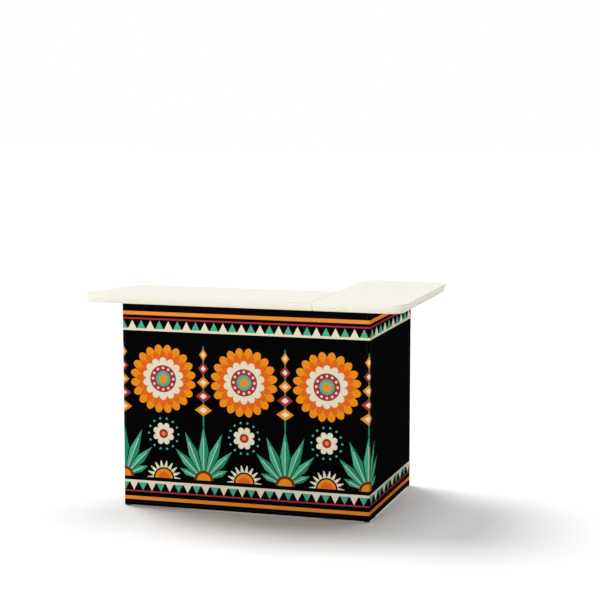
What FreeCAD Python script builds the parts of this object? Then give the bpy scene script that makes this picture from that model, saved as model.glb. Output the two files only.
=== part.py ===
import FreeCAD, Part
import math
import os

from FreeCAD import Vector

os.makedirs("parts", exist_ok=True)

# Overall sizes in mm. X runs along the front, Y from the guests to the server, Z up from the floor.
TOP_HEIGHT = 1067.0        # floor to serving surface
TOP_THICKNESS = 42.0
BODY_WIDTH = 1254.0        # outside of the cover, left to right
BODY_DEPTH = 830.0         # outside of the cover, front to back at the right end
LEFT_OVERHANG = 162.0      # tip of the slanted end past the cover
RIGHT_OVERHANG = 196.0
FRONT_OVERHANG = 136.0
BACK_OVERHANG = 12.0

# Countertop panels
PANEL_WIDTH = 444.0        # width of each leg of the L
END_SLANT = 170.0          # how far the free end is cut back over the panel width
TOP_CORNER_R = 76.0
EDGE_UNDERCUT = 15.0       # the underside is smaller than the serving surface by this on each free edge
TOP_RIM_R = 3.0
LOWER_RIM_R = 6.0
SEAM_GAP = 1.0
SEAM_DRAFT = 0.5           # mould draft of the edges that meet at the seam
PANEL_WALL = 3.5
SIDE_WALL = 5.0            # wall along the edges, thicker than the skins
TACK_R = 17.0              # mouth of a conical tack-off in the underside
TACK_TIP_R = 9.0
TACK_PITCH = 190.0
TACK_MARGIN = 72.0         # outer tack-offs from the straight edges
TACK_END_MARGIN = 50.0     # and from the slanted end
TACK_CLEAR = 4.0           # plain strip beside a bearing tube
DOWEL_R = 5.0
DOWEL_LENGTH = 14.0
DOWEL_CHAMFER = 1.5
DOWEL_CLEAR = 0.5          # dowel in the top rail, each side
DOWEL_SHANK_R = 4.0
DOWEL_SHANK = 15.0
SOCKET_CLEAR = 0.05        # shank in the panel, each side
SOCKET_END = 1.0
DOWEL_INSET = 150.0        # outer dowels of the long panel from the posts
RETURN_DOWEL_INSET = 40.0  # dowels of the return panel from the posts

# Square tube frames
TUBE = 25.0
TUBE_WALL = 1.5
TUBE_R = 2.5
LOW_RAIL_Z = 45.0
FOOT_HEIGHT = 12.0
FOOT_FLARE = 1.0
FOOT_CHAMFER = 1.5
PLUG_DEPTH = 20.0
CAP_T = 2.0
FIT_CLEAR = 0.2            # plugs in tube bores, each side
SEAT_CLEAR = 0.3           # swinging frames under the top, shelf above its ledges

# Pintle hinges of the swinging frames
PIN_R = 5.0
PIN_CLEAR = 0.06
PIN_PRESS = 0.02           # pin in its bracket, each side
PIN_HEAD_R = 7.5
PIN_HEAD_T = 3.0
PIN_HEAD_CHAMFER = 0.8
BARREL_R = 9.0
BARREL_LENGTH = 36.0
BRACKET_T = 6.0
BRACKET_CLEAR = 1.0
BRACKET_INSET = 2.0        # bracket arm inside the faces of its post
HINGE_FROM_END = 150.0     # bracket height above the floor and below the top
POST_LAP = 6.0             # the near post starts this far in front of its hinge pin

# Shelves
SHELF_HEIGHT = 505.0       # floor to shelf underside
SHELF_T = 20.0
SHELF_WALL = 3.0
SHELF_CLEAR = 4.0
SHELF_CORNER_R = 6.0
SHELF_RIM_R = 2.0
RIB_PITCH = 140.0
SHELF_HINGE = 5.5          # hinge axis from the rail face
HINGE_LIFT = 1.0           # hinge axis above the shelf surface
KNUCKLE_R = 3.5
HINGE_PIN_R = 2.0
LEAF_T = 1.5
LEAF_WIDTH = 22.0
LEAF_DROP = 17.6           # rail leaf below the hinge axis
LEAF_GAP = 1.0             # shelf and its leaf from the knuckles
HINGE_PLAY = 0.4
HINGE_WIDTH = 64.0
HINGE_INSET = 110.0        # shelf hinges from the shelf's ends
RAIL_LIFT = 3.0            # hinge rails stand this far above the shelf underside
LEDGE_T = 2.5
LEDGE_HEIGHT = 20.0
LEDGE_BEND_R = 1.5         # inside of the bend
LEDGE_WIDTH = 34.0
LEDGE_BEARING = 14.0
FOLD_CLEAR = 3.5
FOLD_END_GAP = 14.0

# Printed cover and its hook-and-loop strips
COVER_T = 1.2
STRIP_T = 2.0
STRIP_WIDTH = 18.0
STRIP_GAP = 6.0            # upright strips from the rails
COVER_FLOOR_GAP = 5.0
COVER_TOP_GAP = 2.0
COVER_CORNER_R = 4.0
COVER_JOINT = 0.6
END_INSET = 24.0           # left end of the cover stops this far short of the panel's back edge


# Positions that follow from the sizes above
length = LEFT_OVERHANG + BODY_WIDTH + RIGHT_OVERHANG
depth = FRONT_OVERHANG + BODY_DEPTH + BACK_OVERHANG
x_left = LEFT_OVERHANG - length / 2
x_right = length / 2 - RIGHT_OVERHANG
x_seam = length / 2 - PANEL_WIDTH
y_front = FRONT_OVERHANG - depth / 2
y_back = depth / 2 - BACK_OVERHANG
y_panel_back = PANEL_WIDTH - depth / 2
top_under = TOP_HEIGHT - TOP_THICKNESS

skin = COVER_T + STRIP_T
y_frame_front = y_front + skin                  # front frame: front and back face
y_frame_back = y_frame_front + TUBE
x_left_outer = x_left + skin                   # left frames: outer and inner face
x_left_inner = x_left_outer + TUBE
x_right_outer = x_right - skin                  # right frames: outer and inner face
x_right_inner = x_right_outer - TUBE
x_gate_left = x_seam - TUBE / 2               # middle frame, centred under the seam
x_gate_right = x_seam + TUBE / 2

fold_gap = SHELF_HINGE + HINGE_LIFT + SHELF_T + FOLD_CLEAR
y_pin_near = y_frame_back + fold_gap - BARREL_R
y_pin_right = y_pin_near + TUBE + fold_gap
x_pin_left = x_left_inner + BARREL_R
x_pin_gate = x_gate_left - BARREL_R
x_pin_right = x_right_inner - BARREL_R

y_right_end = y_back - skin
y_left_end = y_panel_back - END_INSET - skin
left_reach = y_left_end - y_pin_near
gate_reach = min(x_pin_gate - x_pin_left - left_reach - FOLD_END_GAP, y_right_end - y_pin_near)
y_gate_end = y_pin_near + gate_reach

z_front_top = top_under
z_swing_top = top_under - SEAT_CLEAR
z_shelf_top = SHELF_HEIGHT + SHELF_T
z_shelf_axis = z_shelf_top + HINGE_LIFT
z_hinge_rail = SHELF_HEIGHT + RAIL_LIFT
z_ledge_rail = SHELF_HEIGHT - TUBE
z_hinges = (HINGE_FROM_END + FOOT_HEIGHT, z_swing_top - HINGE_FROM_END - BARREL_LENGTH)

post_reach = TUBE - POST_LAP           # how far a folded near post passes its hinge pin
x_shelf_left = x_pin_left + post_reach + SHELF_CLEAR
x_shelf_right = x_pin_gate - post_reach - SHELF_CLEAR
y_shelf_axis = y_frame_back + SHELF_HINGE
y_shelf_front = y_shelf_axis + KNUCKLE_R + LEAF_GAP
y_shelf_back = y_left_end - TUBE - SHELF_CLEAR
x_return_axis = x_right_inner - SHELF_HINGE
x_return_left = x_gate_right + SHELF_CLEAR
x_return_right = x_return_axis - KNUCKLE_R - LEAF_GAP


def return_shelf_start():
    # The return shelf lifts while its frame swings in. Its front corner must pass behind the front frame.
    span = x_return_axis - x_return_left
    start = 0.0
    for degrees in range(1, 89):
        a = math.radians(degrees)
        edge_x = BARREL_R - SHELF_HINGE - span * math.cos(a) - (SHELF_T + HINGE_LIFT) * math.sin(a)
        needed = (y_frame_back + SHELF_CLEAR - y_pin_right - edge_x * math.sin(a)) / math.cos(a)
        start = max(start, needed)
    return y_pin_right + start


y_return_front = return_shelf_start()
y_return_back = y_right_end - SHELF_CLEAR


def swing_limit(s):
    # The end frames and their cover sweep over the long shelf's ends as it lifts.
    # At the distance s from the hinge axis, the shelf must end this far from the hinge pins.
    wall = BARREL_R + TUBE
    limit = post_reach
    for degrees in range(1, 89):
        a = math.radians(degrees)
        y = y_shelf_axis - y_pin_near + s * math.cos(a) + (SHELF_T + HINGE_LIFT) * math.sin(a)
        limit = max(limit, (y * math.sin(a) - wall) / math.cos(a))
    return limit


shelf_depth = y_shelf_back - y_shelf_axis
shelf_cut = swing_limit(shelf_depth) - post_reach
straight = max(s for s in range(int(shelf_depth)) if swing_limit(s) <= post_reach)
y_shelf_cut = y_shelf_axis + straight


# Small shape helpers
def block(xa, xb, ya, yb, za, zb):
    return Part.makeBox(xb - xa, yb - ya, zb - za, Vector(xa, ya, za))


def cylinder(radius, height, x, y, z, direction=Vector(0, 0, 1)):
    return Part.makeCylinder(radius, height, Vector(x, y, z), direction)


def level_edges(shape, z):
    # Edges that lie flat at one height
    return [e for e in shape.Edges if abs(e.BoundBox.ZMin - z) < 0.01 and abs(e.BoundBox.ZMax - z) < 0.01]


def rounded_wire(points, radii, z):
    # Closed outline through the points, each corner rounded to its radius (0 keeps it sharp).
    starts = []
    ends = []
    mids = []
    for i, (px, py) in enumerate(points):
        corner = Vector(px, py, z)
        before = Vector(points[i - 1][0], points[i - 1][1], z) - corner
        after = Vector(points[(i + 1) % len(points)][0], points[(i + 1) % len(points)][1], z) - corner
        before.normalize()
        after.normalize()
        half = before.getAngle(after) / 2
        setback = radii[i] / math.tan(half)
        inward = before + after
        inward.normalize()
        starts.append(corner + before * setback)
        ends.append(corner + after * setback)
        mids.append(corner + inward * (radii[i] / math.sin(half) - radii[i]))
    edges = []
    for i in range(len(points)):
        if radii[i] > 0:
            edges.append(Part.Arc(starts[i], mids[i], ends[i]).toShape())
        following = (i + 1) % len(points)
        edges.append(Part.makeLine(ends[i], starts[following]))
    return Part.Wire(edges)


def moved_in(points, offsets):
    # Outline with each edge (from its point to the next) moved inwards by its offset
    count = len(points)
    lines = []
    for i in range(count):
        ax, ay = points[i]
        bx, by = points[(i + 1) % count]
        size = math.hypot(bx - ax, by - ay)
        nx = -(by - ay) / size
        ny = (bx - ax) / size
        lines.append((ax + nx * offsets[i], ay + ny * offsets[i], (bx - ax) / size, (by - ay) / size))
    result = []
    for i in range(count):
        ax, ay, adx, ady = lines[i - 1]
        bx, by, bdx, bdy = lines[i]
        k = ((bx - ax) * bdy - (by - ay) * bdx) / (adx * bdy - ady * bdx)
        result.append((ax + adx * k, ay + ady * k))
    return result


def rounded_bar(width, r, z_from, z_to):
    # Square bar with rounded edges, centred on the Z axis.
    h = width / 2
    corners = [(-h, -h), (h, -h), (h, h), (-h, h)]
    return Part.Face(rounded_wire(corners, [r] * 4, z_from)).extrude(Vector(0, 0, z_to - z_from))


def tube(axis, a, b, start, end):
    # Hollow square tube along an axis; a and b are its centre in the other two directions, in order.
    solid = rounded_bar(TUBE, TUBE_R, 0, end - start)
    h = TUBE / 2 - TUBE_WALL
    solid = solid.cut(block(-h, h, -h, h, -1, end - start + 1))
    if axis == "x":
        solid.rotate(Vector(0, 0, 0), Vector(0, 1, 0), 90)
        solid.translate(Vector(start, a, b))
    elif axis == "y":
        solid.rotate(Vector(0, 0, 0), Vector(1, 0, 0), -90)
        solid.translate(Vector(a, start, b))
    else:
        solid.translate(Vector(a, b, start))
    return solid


def plug(z_from, z_to):
    h = TUBE / 2 - TUBE_WALL - FIT_CLEAR
    return block(-h, h, -h, h, z_from, z_to)


def foot(x, y):
    # Moulded glide: a flared pad on the floor and a plug in the tube.
    pad = rounded_bar(TUBE + 2 * FOOT_FLARE, TUBE_R, 0, FOOT_HEIGHT)
    pad = pad.makeChamfer(FOOT_CHAMFER, level_edges(pad, 0))
    shape = pad.fuse(plug(FOOT_HEIGHT, FOOT_HEIGHT + PLUG_DEPTH)).removeSplitter()
    shape.translate(Vector(x, y, 0))
    return shape


def cap(x, y, z_top):
    # Flush plastic cap with a short plug that closes the upper end of a post.
    lid = rounded_bar(TUBE, TUBE_R, -CAP_T, 0)
    shape = lid.fuse(plug(-CAP_T - PLUG_DEPTH / 2, -CAP_T)).removeSplitter()
    shape.translate(Vector(x, y, z_top))
    return shape


pieces = {}

# Front frame: two corner posts, rails between them and a middle post that carries the middle frame
y_frame_middle = (y_frame_front + y_frame_back) / 2
x_left_middle = (x_left_outer + x_left_inner) / 2
x_right_middle = (x_right_outer + x_right_inner) / 2
z_mid_rail = z_hinge_rail + TUBE / 2
z_top_rail = z_front_top - TUBE / 2
pieces["front_post_left"] = tube("z", x_left_middle, y_frame_middle, FOOT_HEIGHT, z_front_top - CAP_T)
pieces["front_post_right"] = tube("z", x_right_middle, y_frame_middle, FOOT_HEIGHT, z_front_top - CAP_T)
pieces["front_post_middle"] = tube("z", x_seam, y_frame_middle, LOW_RAIL_Z + TUBE, z_front_top - TUBE)
pieces["front_bottom_rail"] = tube("x", y_frame_middle, LOW_RAIL_Z + TUBE / 2, x_left_inner, x_right_inner)
pieces["front_mid_rail_left"] = tube("x", y_frame_middle, z_mid_rail, x_left_inner, x_gate_left)
pieces["front_mid_rail_right"] = tube("x", y_frame_middle, z_mid_rail, x_gate_right, x_right_inner)
x_end_posts = (x_left_middle, x_right_middle)
pieces["front_feet"] = Part.makeCompound([foot(x, y_frame_middle) for x in x_end_posts])
pieces["front_caps"] = Part.makeCompound([cap(x, y_frame_middle, z_front_top) for x in x_end_posts])

# The top rail has clearance holes in its upper wall for the countertop's locating dowels
dowels_long = [x_left_inner + DOWEL_INSET, x_gate_left - DOWEL_INSET]
dowels_return = [x_gate_right + RETURN_DOWEL_INSET, x_right_inner - RETURN_DOWEL_INSET]
top_rail = tube("x", y_frame_middle, z_top_rail, x_left_inner, x_right_inner)
for x in dowels_long + dowels_return:
    hole = cylinder(DOWEL_R + DOWEL_CLEAR, TUBE / 2, x, y_frame_middle, z_top_rail)
    top_rail = top_rail.cut(hole)
pieces["front_top_rail"] = top_rail


# Swinging frames: left end, middle gate and right end are the same ladder in different lengths
def swinging_frame(name, x_centre, y_pin, y_end, z_mid):
    y_near = y_pin - POST_LAP + TUBE / 2
    y_far = y_end - TUBE / 2
    for post, y in (("near", y_near), ("far", y_far)):
        pieces[name + "_" + post + "_post"] = tube("z", x_centre, y, FOOT_HEIGHT, z_swing_top - CAP_T)
    rails = {"bottom": LOW_RAIL_Z, "mid": z_mid, "top": z_swing_top - TUBE}
    for rail, z in rails.items():
        y_start = y_near + TUBE / 2
        pieces[name + "_" + rail + "_rail"] = tube("y", x_centre, z + TUBE / 2, y_start, y_end - TUBE)
    pieces[name + "_feet"] = Part.makeCompound([foot(x_centre, y_near), foot(x_centre, y_far)])
    caps = [cap(x_centre, y_near, z_swing_top), cap(x_centre, y_far, z_swing_top)]
    pieces[name + "_caps"] = Part.makeCompound(caps)


swinging_frame("left", x_left_middle, y_pin_near, y_left_end, z_ledge_rail)
swinging_frame("gate", x_seam, y_pin_near, y_gate_end, z_ledge_rail)
swinging_frame("right", x_right_middle, y_pin_right, y_right_end, z_hinge_rail)


# Pintle hinges: bracket arms on the front posts carry headed pins, and barrels on the near posts turn on them
def pintle_bracket(x_pin, y_pin, z, side):
    # side is +1 when the post lies at larger X than the pin
    eye = BARREL_R - BRACKET_CLEAR
    post_x = x_pin + side * BARREL_R
    y_arm = y_frame_back - BRACKET_INSET
    x_ends = sorted((x_pin - side * eye, post_x))
    arm = block(x_ends[0], x_ends[1], y_frame_front + BRACKET_INSET, y_arm, 0, BRACKET_T)
    reach = block(x_pin - eye, x_pin + eye, y_arm, y_pin, 0, BRACKET_T)
    shape = arm.fuse([reach, cylinder(eye, BRACKET_T, x_pin, y_pin, 0)])
    shape = shape.cut(cylinder(PIN_R + PIN_PRESS, BRACKET_T, x_pin, y_pin, 0)).removeSplitter()
    shape.translate(Vector(0, 0, z - BRACKET_T))
    return shape


def pintle_pin(x, y, z):
    z_head = z + BARREL_LENGTH + 2 * SEAT_CLEAR
    shank = cylinder(PIN_R, z_head - z + BRACKET_T, x, y, z - BRACKET_T)
    head = cylinder(PIN_HEAD_R, PIN_HEAD_T, x, y, z_head)
    head = head.makeChamfer(PIN_HEAD_CHAMFER, level_edges(head, z_head + PIN_HEAD_T))
    return shank.fuse(head).removeSplitter()


def barrel(x, y, z, side):
    foot_x = x + side * BARREL_R
    web = block(min(x, foot_x), max(x, foot_x), y - POST_LAP + TUBE_R, y + POST_LAP, 0, BARREL_LENGTH)
    shape = cylinder(BARREL_R, BARREL_LENGTH, x, y, 0).fuse(web)
    shape = shape.cut(cylinder(PIN_R + PIN_CLEAR, BARREL_LENGTH, x, y, 0)).removeSplitter()
    shape.translate(Vector(0, 0, z + SEAT_CLEAR))
    return shape


hinge_lines = {"left": (x_pin_left, y_pin_near, -1), "gate": (x_pin_gate, y_pin_near, 1),
               "right": (x_pin_right, y_pin_right, 1)}
brackets = []
pins = []
for name, (x, y, side) in hinge_lines.items():
    for z in z_hinges:
        brackets.append(pintle_bracket(x, y, z, side))
        pins.append(pintle_pin(x, y, z))
    pieces[name + "_barrels"] = Part.makeCompound([barrel(x, y, z, side) for z in z_hinges])
pieces["pintle_brackets"] = Part.makeCompound(brackets)
pieces["pintle_pins"] = Part.makeCompound(pins)


# Ledges: bent steel angles under the shelf ends
def ledge(x_face, y_mid, reach, side):
    z_top = SHELF_HEIGHT - SEAT_CLEAR
    flange = LEDGE_HEIGHT - LEDGE_T
    profile = [(0, 0), (LEDGE_T, 0), (LEDGE_T, flange),
               (reach, flange), (reach, LEDGE_HEIGHT), (0, LEDGE_HEIGHT)]
    wire = rounded_wire(profile, [0, 0, LEDGE_BEND_R, 0, 0, LEDGE_BEND_R + LEDGE_T], 0)
    shape = Part.Face(wire).extrude(Vector(0, 0, LEDGE_WIDTH))
    shape.rotate(Vector(0, 0, 0), Vector(1, 0, 0), 90)
    shape.translate(Vector(0, LEDGE_WIDTH / 2, z_top - LEDGE_HEIGHT))
    if side < 0:
        shape = shape.mirror(Vector(0, 0, 0), Vector(1, 0, 0))
    shape.translate(Vector(x_face, y_mid, 0))
    return shape


y_ledge = y_pin_near + post_reach + LEDGE_WIDTH
long_reach = x_shelf_left - x_left_inner + LEDGE_BEARING
return_ledges = (y_return_front + LEDGE_WIDTH, y_gate_end - TUBE - 2 * LEDGE_WIDTH)
pieces["left_ledge"] = ledge(x_left_inner, y_ledge, long_reach, 1)
gate_ledges = [ledge(x_gate_left, y_ledge, long_reach, -1)]
gate_ledges += [ledge(x_gate_right, y, SHELF_CLEAR + LEDGE_BEARING, 1) for y in return_ledges]
pieces["gate_ledges"] = Part.makeCompound(gate_ledges)


# Shelves: moulded trays, open below with cross ribs
def tray(points):
    count = len(points)
    face = Part.Face(rounded_wire(points, [SHELF_CORNER_R] * count, SHELF_HEIGHT))
    body = face.extrude(Vector(0, 0, SHELF_T))
    body = body.makeFillet(SHELF_RIM_R, level_edges(body, z_shelf_top))
    inner_points = moved_in(points, [SHELF_WALL] * count)
    inner = rounded_wire(inner_points, [SHELF_CORNER_R - SHELF_WALL] * count, SHELF_HEIGHT)
    hollow = Part.Face(inner).extrude(Vector(0, 0, SHELF_T - SHELF_WALL))
    box = body.BoundBox
    for low, high, along_x in ((box.XMin, box.XMax, True), (box.YMin, box.YMax, False)):
        cells = max(2, round((high - low) / RIB_PITCH))
        for i in range(1, cells):
            at = low + (high - low) * i / cells
            start = at - SHELF_WALL / 2
            end = at + SHELF_WALL / 2
            if along_x:
                rib = block(start, end, box.YMin, box.YMax, SHELF_HEIGHT, z_shelf_top)
            else:
                rib = block(box.XMin, box.XMax, start, end, SHELF_HEIGHT, z_shelf_top)
            hollow = hollow.cut(rib)
    return body.cut(hollow)


long_outline = [(x_shelf_left, y_shelf_front), (x_shelf_right, y_shelf_front),
                (x_shelf_right, y_shelf_cut), (x_shelf_right - shelf_cut, y_shelf_back),
                (x_shelf_left + shelf_cut, y_shelf_back), (x_shelf_left, y_shelf_cut)]
return_outline = [(x_return_left, y_return_front), (x_return_right, y_return_front),
                  (x_return_right, y_return_back), (x_return_left, y_return_back)]
pieces["long_shelf"] = tray(long_outline)
pieces["return_shelf"] = tray(return_outline)


# Shelf butt hinges, drawn with the axis along X at the origin, the rail towards -Y and the shelf towards +Y
def knuckle(x_from, width, ya, yb, za, zb):
    shape = cylinder(KNUCKLE_R, width, x_from, 0, 0, Vector(1, 0, 0))
    shape = shape.fuse(block(x_from, x_from + width, ya, yb, za, zb))
    bore = cylinder(HINGE_PIN_R + PIN_CLEAR, width, x_from, 0, 0, Vector(1, 0, 0))
    return shape.cut(bore).removeSplitter()


def hinge_set():
    h = HINGE_WIDTH / 2
    third = HINGE_WIDTH / 3
    fixed = block(-h, h, -SHELF_HINGE, -SHELF_HINGE + LEAF_T, -LEAF_DROP, KNUCKLE_R)
    for x in (-h, h - third + HINGE_PLAY):
        fixed = fixed.fuse(knuckle(x, third - HINGE_PLAY, -SHELF_HINGE, 0, -KNUCKLE_R, KNUCKLE_R))
    fixed = fixed.cut(cylinder(HINGE_PIN_R + PIN_CLEAR, HINGE_WIDTH, -h, 0, 0, Vector(1, 0, 0)))
    moving = block(-h, h, KNUCKLE_R + LEAF_GAP, LEAF_WIDTH, -HINGE_LIFT, LEAF_T - HINGE_LIFT)
    middle = knuckle(-third / 2, third, 0, KNUCKLE_R + LEAF_GAP, -HINGE_LIFT, LEAF_T - HINGE_LIFT)
    moving = moving.fuse(middle)
    moving = moving.cut(cylinder(HINGE_PIN_R + PIN_CLEAR, HINGE_WIDTH, -h, 0, 0, Vector(1, 0, 0)))
    pin = cylinder(HINGE_PIN_R, HINGE_WIDTH, -h, 0, 0, Vector(1, 0, 0))
    return [fixed.removeSplitter(), moving.removeSplitter(), pin]


def place_hinges(positions, turned):
    # Returns fixed leaves, moving leaves and pins; turned hinges lie along Y against the right frame
    groups = [[], [], []]
    for position in positions:
        for group, shape in zip(groups, hinge_set()):
            shape = shape.copy()
            if turned:
                shape.rotate(Vector(0, 0, 0), Vector(0, 0, 1), 90)
            shape.translate(position)
            group.append(shape)
    return [Part.makeCompound(group) for group in groups]


x_hinges = (x_shelf_left + HINGE_INSET, (x_shelf_left + x_shelf_right) / 2, x_shelf_right - HINGE_INSET)
y_hinges = (y_return_front + HINGE_INSET, y_return_back - HINGE_INSET)
long_spots = [Vector(x, y_shelf_axis, z_shelf_axis) for x in x_hinges]
return_spots = [Vector(x_return_axis, y, z_shelf_axis) for y in y_hinges]
fixed, moving, pin = place_hinges(long_spots, False)
pieces["long_hinge_fixed"] = fixed
pieces["long_hinge_moving"] = moving
pieces["long_hinge_pins"] = pin
fixed, moving, pin = place_hinges(return_spots, True)
pieces["return_hinge_fixed"] = fixed
pieces["return_hinge_moving"] = moving
pieces["return_hinge_pins"] = pin


# Countertop: hollow mouldings with undercut edges and conical tack-offs from below
def slab(points, radii, undercuts, inset, z_from, z_to):
    # Tapered slab: full outline above, outline moved in by the undercuts below; inset shrinks it all round
    upper = moved_in(points, [inset] * len(points))
    lower = moved_in(points, [inset + u for u in undercuts])
    upper_r = []
    lower_r = []
    for i, r in enumerate(radii):
        shrink = min(undercuts[i - 1], undercuts[i])
        upper_r.append(max(r - inset, 0.0))
        lower_r.append(max(r - inset - shrink, 0.0))
    wires = [rounded_wire(lower, lower_r, z_from), rounded_wire(upper, upper_r, z_to)]
    return Part.makeLoft(wires, True, True)


def cone(x, y, grow):
    # Tack-off below the panel; grown by the wall it is the plastic round it
    height = TOP_THICKNESS - 2 * PANEL_WALL
    return Part.makeCone(TACK_R + grow, TACK_TIP_R + grow, height + grow, Vector(x, y, top_under))


def top_panel(points, radii, undercuts, spots, dowels):
    panel = slab(points, radii, undercuts, 0.0, top_under, TOP_HEIGHT)
    panel = panel.makeFillet(TOP_RIM_R, level_edges(panel, TOP_HEIGHT))
    panel = panel.makeFillet(LOWER_RIM_R, level_edges(panel, top_under))
    hollow = slab(points, radii, undercuts, SIDE_WALL, top_under + PANEL_WALL, TOP_HEIGHT - PANEL_WALL)
    boss_r = DOWEL_SHANK_R + PANEL_WALL
    bosses = [cylinder(boss_r, TOP_THICKNESS, x, y_frame_middle, top_under) for x in dowels]
    hollow = hollow.cut(bosses + [cone(x, y, PANEL_WALL) for x, y in spots])
    socket_r = DOWEL_SHANK_R + SOCKET_CLEAR
    sockets = [cylinder(socket_r, DOWEL_SHANK + SOCKET_END, x, y_frame_middle, top_under) for x in dowels]
    panel = panel.cut(sockets + [cone(x, y, 0.0) for x, y in spots])
    return panel.cut(hollow)


def tack_spots(xa, xb, ya, yb, slant_from=None):
    # Even grid of tack-offs, leaving plain strips where the frames bear
    spots = []
    x_run = xb - xa - 2 * TACK_MARGIN
    y_run = yb - ya - 2 * TACK_MARGIN
    columns = max(2, round(x_run / TACK_PITCH))
    rows = max(2, round(y_run / TACK_PITCH))
    clear = TUBE / 2 + TACK_R + TACK_CLEAR
    for i in range(columns + 1):
        for j in range(rows + 1):
            x = xa + TACK_MARGIN + x_run * i / columns
            y = ya + TACK_MARGIN + y_run * j / rows
            edge = xa if slant_from is None else slant_from + END_SLANT * (y - ya) / (yb - ya)
            bearing = min(abs(x - tube_x) for tube_x in (x_left_middle, x_seam, x_right_middle))
            bearing = min(bearing, abs(y - y_frame_middle))
            if bearing > clear and x > edge + TACK_END_MARGIN:
                spots.append((x, y))
    return spots


def dowel(x):
    pin = cylinder(DOWEL_R, DOWEL_LENGTH, x, y_frame_middle, top_under - DOWEL_LENGTH)
    pin = pin.makeChamfer(DOWEL_CHAMFER, level_edges(pin, top_under - DOWEL_LENGTH))
    return pin.fuse(cylinder(DOWEL_SHANK_R, DOWEL_SHANK, x, y_frame_middle, top_under)).removeSplitter()


y_top_front = -depth / 2
y_top_back = depth / 2
x_top_right = length / 2
end_run = math.hypot(END_SLANT, PANEL_WIDTH)
tip_cut = TOP_CORNER_R * ((END_SLANT + end_run) / PANEL_WIDTH - 1)
x_tip = -length / 2 - tip_cut          # sharp corner, whose rounded tip ends at the overall length
long_points = [(x_tip, y_top_front), (x_seam - SEAM_GAP / 2, y_top_front),
               (x_seam - SEAM_GAP / 2, y_panel_back), (x_tip + END_SLANT, y_panel_back)]
return_points = [(x_seam + SEAM_GAP / 2, y_top_front), (x_top_right, y_top_front),
                 (x_top_right, y_top_back), (x_seam + SEAM_GAP / 2, y_top_back)]
long_spots_under = tack_spots(-length / 2, x_seam, y_top_front, y_panel_back, x_tip)
return_spots_under = tack_spots(x_seam, x_top_right, y_top_front, y_top_back)
long_radii = [TOP_CORNER_R, 0, 0, TOP_CORNER_R]
return_radii = [0, TOP_CORNER_R, TOP_CORNER_R, TOP_CORNER_R]
long_undercuts = [EDGE_UNDERCUT, SEAM_DRAFT, EDGE_UNDERCUT, EDGE_UNDERCUT]
return_undercuts = [EDGE_UNDERCUT, EDGE_UNDERCUT, EDGE_UNDERCUT, SEAM_DRAFT]
pieces["top_panel_long"] = top_panel(long_points, long_radii, long_undercuts, long_spots_under, dowels_long)
pieces["top_panel_return"] = top_panel(return_points, return_radii, return_undercuts,
                                       return_spots_under, dowels_return)
pieces["long_top_dowels"] = Part.makeCompound([dowel(x) for x in dowels_long])
pieces["return_top_dowels"] = Part.makeCompound([dowel(x) for x in dowels_return])


# Hook-and-loop strips on the outer faces of the frames
def upright_strip(x, y, across):
    w = STRIP_WIDTH / 2
    z_from = LOW_RAIL_Z + TUBE + STRIP_GAP
    z_to = z_swing_top - TUBE - STRIP_GAP
    if across == "x":
        return block(x - w, x + w, y - STRIP_T, y, z_from, z_to)
    return block(x, x + STRIP_T, y - w, y + w, z_from, z_to)


z_low_strip = LOW_RAIL_Z + (TUBE - STRIP_WIDTH) / 2
z_top_strip = z_swing_top - TUBE + (TUBE - STRIP_WIDTH) / 2
front_strips = [block(x_left_inner, x_right_inner, y_frame_front - STRIP_T, y_frame_front, z, z + STRIP_WIDTH)
                for z in (z_low_strip, z_top_strip)]
front_strips += [upright_strip(x, y_frame_front, "x") for x in (x_left_middle, x_right_middle)]
front_strips += [upright_strip(x, y_frame_middle, "y") for x in (x_left_outer - STRIP_T, x_right_outer)]
pieces["front_strips"] = Part.makeCompound(front_strips)


def end_strips(x_outer, x_centre, y_pin, y_end):
    y_start = y_pin + post_reach
    strips = [block(x_outer, x_outer + STRIP_T, y_start, y_end - TUBE, z, z + STRIP_WIDTH)
              for z in (z_low_strip, z_top_strip)]
    strips.append(upright_strip(x_outer, y_pin + post_reach - TUBE / 2, "y"))
    strips.append(upright_strip(x_outer, y_end - TUBE / 2, "y"))
    strips.append(upright_strip(x_centre, y_end + STRIP_T, "x"))
    return Part.makeCompound(strips)


pieces["left_strips"] = end_strips(x_left_outer - STRIP_T, x_left_middle, y_pin_near, y_left_end)
pieces["right_strips"] = end_strips(x_right_outer, x_right_middle, y_pin_right, y_right_end)


# Cover: three fabric panels that lie on the strips and turn the corners
def sheet(outer, inner, bends):
    # Sheet between an outer and an inner path; bends are the indices of rounded corners
    points = outer + inner[::-1]
    radii = [COVER_CORNER_R if i in bends else 0.0 for i in range(len(outer))]
    radii += [COVER_CORNER_R - COVER_T if i in bends else 0.0 for i in range(len(inner))][::-1]
    z_from = COVER_FLOOR_GAP
    face = Part.Face(rounded_wire(points, radii, z_from))
    return face.extrude(Vector(0, 0, top_under - COVER_TOP_GAP - z_from))


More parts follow.
